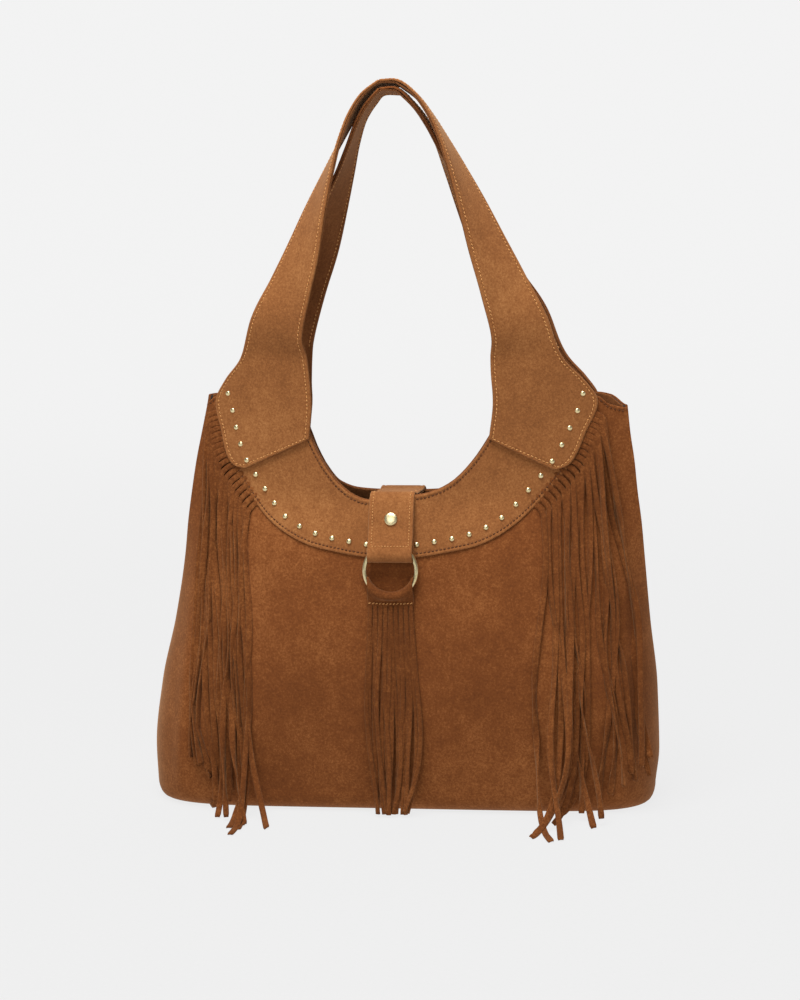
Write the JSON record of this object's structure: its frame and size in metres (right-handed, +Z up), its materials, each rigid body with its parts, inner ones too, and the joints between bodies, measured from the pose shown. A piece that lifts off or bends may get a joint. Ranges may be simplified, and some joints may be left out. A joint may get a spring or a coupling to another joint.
{
  "type": "fringed suede bag",
  "caption": "Soft suede tote with twin top handles, studded yokes, cut side fringes and a snap tab that carries a ring and a fringed tassel.",
  "frame": {"origin": "centre of the flat underside of the base", "axes": "+Z up, -Y towards the front face with the tab and tassel, +X to the right seen from the front"},
  "size_m": [0.385, 0.1666, 0.548],
  "materials": {
    "suede_body": "brushed suede nap, mottled camel brown",
    "suede_upper": "brushed suede nap, light camel",
    "suede_backing": "brushed suede nap, darker brown",
    "lining_cloth": "plain woven dark brown cloth",
    "base_board": "plain fibre board",
    "brass_trim": "polished pale gold plating"
  },
  "bodies": {
    "bag": {"front_panel": "suede_body", "rear_panel": "suede_body", "base_panel": "suede_body", "base_board": "base_board", "lining": "lining_cloth", "front_facing": "suede_backing", "rear_facing": "suede_backing", "front_yoke": "suede_upper", "rear_yoke": "suede_body", "front_handle_left": "suede_upper", "front_handle_left_backing": "suede_backing", "front_handle_right": "suede_upper", "front_handle_right_backing": "suede_backing", "rear_handle_left": "suede_body", "rear_handle_left_backing": "suede_backing", "rear_handle_right": "suede_body", "rear_handle_right_backing": "suede_backing", "closure_tab": "suede_upper", "snap_cap": "brass_trim", "snap_socket": "brass_trim", "snap_stud": "brass_trim", "snap_washer": "brass_trim", "left_fringe": "suede_body", "right_fringe": "suede_body", "stud_left_handle_01": "brass_trim", "stud_left_handle_02": "brass_trim", "stud_left_handle_03": "brass_trim", "stud_left_handle_04": "brass_trim", "stud_left_handle_05": "brass_trim", "stud_left_yoke_06": "brass_trim", "stud_left_yoke_07": "brass_trim", "stud_left_yoke_08": "brass_trim", "stud_left_yoke_09": "brass_trim", "stud_left_yoke_10": "brass_trim", "stud_left_yoke_11": "brass_trim", "stud_left_yoke_12": "brass_trim", "stud_left_yoke_13": "brass_trim", "stud_left_yoke_14": "brass_trim", "stud_right_handle_01": "brass_trim", "stud_right_handle_02": "brass_trim", "stud_right_handle_03": "brass_trim", "stud_right_handle_04": "brass_trim", "stud_right_handle_05": "brass_trim", "stud_right_yoke_06": "brass_trim", "stud_right_yoke_07": "brass_trim", "stud_right_yoke_08": "brass_trim", "stud_right_yoke_09": "brass_trim", "stud_right_yoke_10": "brass_trim", "stud_right_yoke_11": "brass_trim", "stud_right_yoke_12": "brass_trim", "stud_right_yoke_13": "brass_trim", "stud_right_yoke_14": "brass_trim"},
    "ring": {"ring": "brass_trim"},
    "tassel": {"tassel": "suede_body"}
  },
  "joints": [
    {"name": "ring_swing", "type": "hinge", "parent": "bag", "child": "ring", "pos_m": [0, -0.05031, 0.20231], "axis": [-1, 0, 0], "range_deg": [0, 22]},
    {"name": "tassel_swing", "type": "hinge", "parent": "ring", "child": "tassel", "pos_m": [0, -0.05444, 0.17291], "axis": [-1, 0, 0], "range_deg": [0, 7]}
  ]
}
